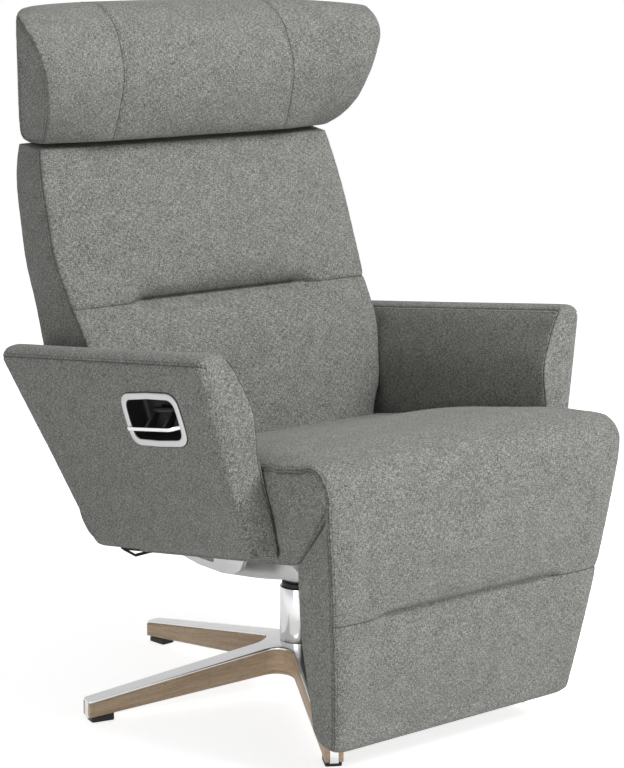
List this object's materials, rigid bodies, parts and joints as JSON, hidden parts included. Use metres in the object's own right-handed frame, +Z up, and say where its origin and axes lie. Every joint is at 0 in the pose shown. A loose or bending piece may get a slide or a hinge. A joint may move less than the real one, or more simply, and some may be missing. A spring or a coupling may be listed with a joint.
{
  "type": "star base swivel recliner",
  "caption": "Grey wool swivel recliner with a winged headrest, a folding footrest, flared arms and a low star base of polished metal and oak.",
  "frame": {"origin": "on the floor below the middle of the chair's footprint", "axes": "+Z up, the sitter faces -Y, +X is the sitter's left; the swivel axis stands 22 mm behind the origin"},
  "size_m": [0.7626, 0.8323, 1.107],
  "materials": {
    "wool": "mottled woven wool",
    "oak": "pale oiled oak",
    "polished": "polished",
    "rod_chrome": "bright",
    "satin": "satin",
    "steel": "zinc plated",
    "black_paint": "black powder coat",
    "black_plastic": "matte",
    "plywood": "raw plywood",
    "webbing": "elastic webbing"
  },
  "bodies": {
    "base": {"star_base": "polished", "lamella_1": "oak", "lamella_2": "oak", "lamella_3": "oak", "lamella_4": "oak", "lamella_5": "oak", "glide_1": "black_plastic", "glide_2": "black_plastic", "glide_3": "black_plastic", "glide_4": "black_plastic", "glide_5": "black_plastic", "column_tube": "polished", "thrust_bearing": "steel", "lower_bush": "black_plastic", "upper_bush": "black_plastic"},
    "chair": {"spindle": "steel", "swivel_bracket": "satin", "frame_bolt_1": "steel", "frame_bolt_2": "steel", "frame_bolt_3": "steel", "frame_bolt_4": "steel", "seat_frame": "black_paint", "gas_cylinder": "black_paint", "seat_strap_1": "webbing", "seat_strap_2": "webbing", "seat_strap_3": "webbing", "seat_strap_4": "webbing", "seat_cushion": "wool", "arm_right": "wool", "arm_left": "wool", "arm_panel_right": "plywood", "arm_panel_left": "plywood", "arm_bolt_right_front": "steel", "arm_bolt_right_rear": "steel", "arm_bolt_left_front": "steel", "arm_bolt_left_rear": "steel", "lever_rim": "satin", "lever_cup": "black_plastic", "lever_pin": "steel", "release_cable": "black_plastic", "footrest_pin_right": "steel", "footrest_pin_left": "steel", "recline_pin_right": "steel", "recline_pin_left": "steel"},
    "backrest": {"back_cushion": "wool", "back_frame": "black_paint", "headrest_guide_right": "black_plastic", "headrest_guide_left": "black_plastic"},
    "headrest_carrier": {"headrest_posts": "rod_chrome"},
    "headrest": {"headrest_cushion": "wool", "headrest_plate": "black_paint"},
    "footrest": {"footrest_cushion": "wool", "footrest_board": "plywood", "footrest_bracket_right": "black_paint", "footrest_bracket_left": "black_paint"},
    "lever": {"lever_handle": "rod_chrome", "lever_arms": "black_plastic"},
    "gas_rod": {"gas_rod": "rod_chrome"}
  },
  "joints": [
    {"name": "swivel", "type": "hinge", "parent": "base", "child": "chair", "pos_m": [0, 0.022, 0.175], "axis": [0, 0, 1], "continuous": true},
    {"name": "recline", "type": "hinge", "parent": "chair", "child": "backrest", "pos_m": [0, 0.217, 0.329], "axis": [-1, 0, 0], "range_deg": [0, 30]},
    {"name": "gas_rod_slide", "type": "slide", "parent": "chair", "child": "gas_rod", "axis": [0, -1, 0], "range_m": [0, 0.043]},
    {"name": "footrest_fold", "type": "hinge", "parent": "chair", "child": "footrest", "pos_m": [0, -0.36803, 0.44512], "axis": [-1, 0, 0], "range_deg": [0, 85]},
    {"name": "headrest_lift", "type": "slide", "parent": "backrest", "child": "headrest_carrier", "axis": [0, 0.2288, 0.9735], "range_m": [0, 0.08]},
    {"name": "headrest_tilt", "type": "hinge", "parent": "headrest_carrier", "child": "headrest", "pos_m": [0, 0.32236, 0.93904], "axis": [1, 0, 0], "range_deg": [0, 15]},
    {"name": "lever_pull", "type": "hinge", "parent": "chair", "child": "lever", "pos_m": [-0.34096, -0.09144, 0.52915], "axis": [0.0055, 0.9888, -0.1491], "range_deg": [0, 20], "stiffness_Nm_per_rad": 1}
  ],
  "couplings": [
    {"joint": "gas_rod_slide", "follows": "recline", "m_per_rad": 0.0793}
  ]
}
